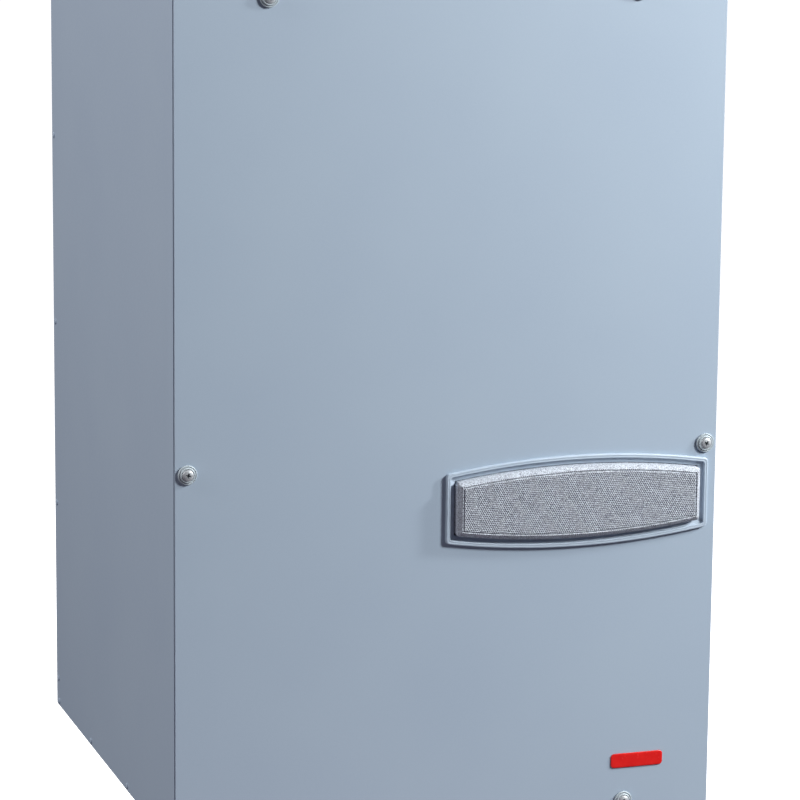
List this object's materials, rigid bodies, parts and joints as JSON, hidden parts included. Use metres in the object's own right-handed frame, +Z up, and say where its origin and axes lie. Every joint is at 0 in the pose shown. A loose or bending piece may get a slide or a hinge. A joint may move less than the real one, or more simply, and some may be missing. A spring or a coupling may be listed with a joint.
{
  "type": "heat recovery ventilation unit",
  "caption": "Wall-hung steel cabinet with a lift-off front cover, a bowed filter hatch, duct collars on top, and a cross-flow exchanger, fans, filters and bypass flap inside.",
  "frame": {"origin": "centre of the wall bracket's rear face, where the unit hangs on the wall", "axes": "+Z up, +Y into the wall, so the front cover faces -Y; +X to the right seen from the front"},
  "size_m": [0.6, 0.6015, 0.977],
  "materials": {
    "powder_coat": "satin",
    "bezel_plastic": "satin",
    "cap_foam": "matte",
    "black_foam": "matte",
    "zinc": "polished",
    "washer_metal": "satin",
    "gasket_rubber": "matte",
    "galvanised": "satin",
    "dark_plastic": "satin",
    "white_plastic": "satin",
    "exchanger_plastic": "satin",
    "filter_card": "matte",
    "filter_fleece": "matte",
    "board_green": "satin",
    "badge_red": "gloss",
    "strap_webbing": "matte"
  },
  "bodies": {
    "cabinet": {"back_panel": "powder_coat", "bottom_panel": "powder_coat", "bypass_actuator": "dark_plastic", "bypass_frame": "white_plastic", "cable_gland": "dark_plastic", "circuit_board": "board_green", "condensate_drain": "dark_plastic", "condensate_tray": "white_plastic", "control_box": "galvanised", "control_box_lid": "galvanised", "exchanger_rail_left": "dark_plastic", "exchanger_rail_right": "dark_plastic", "exhaust_fan_inlet": "dark_plastic", "exhaust_fan_motor": "galvanised", "exhaust_fan_scroll": "dark_plastic", "exhaust_spigot": "dark_plastic", "extract_spigot": "dark_plastic", "front_gasket": "gasket_rubber", "hanging_rail": "galvanised", "left_side_panel": "powder_coat", "lower_foam_block": "black_foam", "outdoor_spigot": "dark_plastic", "right_side_panel": "powder_coat", "supply_fan_inlet": "dark_plastic", "supply_fan_motor": "galvanised", "supply_fan_scroll": "dark_plastic", "supply_spigot": "dark_plastic", "top_panel": "powder_coat", "upper_foam_block": "black_foam", "wall_bracket": "galvanised", "wall_buffer_left": "gasket_rubber", "wall_buffer_right": "gasket_rubber"},
    "cover": {"front_cover": "powder_coat", "front_insulation": "black_foam", "filter_bezel": "bezel_plastic", "badge": "badge_red", "cover_screw_left": "zinc", "cover_screw_right": "zinc", "cover_screw_top_left": "zinc", "cover_screw_top_right": "zinc", "cover_screw_bottom_left": "zinc", "cover_screw_bottom_right": "zinc", "cup_washer_left": "washer_metal", "cup_washer_right": "washer_metal", "cup_washer_top_left": "washer_metal", "cup_washer_top_right": "washer_metal", "cup_washer_bottom_left": "washer_metal", "cup_washer_bottom_right": "washer_metal"},
    "cap": {"filter_cap": "cap_foam"},
    "exchanger": {"exchanger_core": "exchanger_plastic", "exchanger_front_frame": "dark_plastic", "exchanger_rear_frame": "dark_plastic", "exchanger_strap": "strap_webbing"},
    "left_filter": {"left_filter_frame": "filter_card", "left_filter_media": "filter_fleece"},
    "right_filter": {"right_filter_frame": "filter_card", "right_filter_media": "filter_fleece"},
    "flap": {"bypass_flap": "dark_plastic"},
    "exhaust_wheel": {"exhaust_fan_wheel": "white_plastic"},
    "supply_wheel": {"supply_fan_wheel": "white_plastic"}
  },
  "joints": [
    {"name": "cover_slide", "type": "slide", "parent": "cabinet", "child": "cover", "axis": [0, -1, 0], "range_m": [0, 0.5]},
    {"name": "cap_slide", "type": "slide", "parent": "cover", "child": "cap", "axis": [0, -1, 0], "range_m": [0, 0.45]},
    {"name": "exchanger_slide", "type": "slide", "parent": "cabinet", "child": "exchanger", "axis": [0, -1, 0], "range_m": [0, 0.36]},
    {"name": "left_filter_slide", "type": "slide", "parent": "cabinet", "child": "left_filter", "axis": [0, -1, 0], "range_m": [0, 0.36]},
    {"name": "right_filter_slide", "type": "slide", "parent": "cabinet", "child": "right_filter", "axis": [0, -1, 0], "range_m": [0, 0.36]},
    {"name": "bypass_flap_hinge", "type": "hinge", "parent": "cabinet", "child": "flap", "pos_m": [-0.187, -0.2257, 0.036], "axis": [-1, 0, 0], "range_deg": [0, 90]},
    {"name": "exhaust_fan_spin", "type": "hinge", "parent": "cabinet", "child": "exhaust_wheel", "pos_m": [0.143, -0.275, -0.63], "axis": [0, -1, 0], "continuous": true},
    {"name": "supply_fan_spin", "type": "hinge", "parent": "cabinet", "child": "supply_wheel", "pos_m": [-0.149, -0.275, -0.63], "axis": [0, -1, 0], "continuous": true}
  ],
  "couplings": [
    {"joint": "exchanger_slide", "follows": "cover_slide", "ratio": 0.72},
    {"joint": "left_filter_slide", "follows": "cover_slide", "ratio": 0.72},
    {"joint": "right_filter_slide", "follows": "cap_slide", "ratio": 0.8}
  ]
}
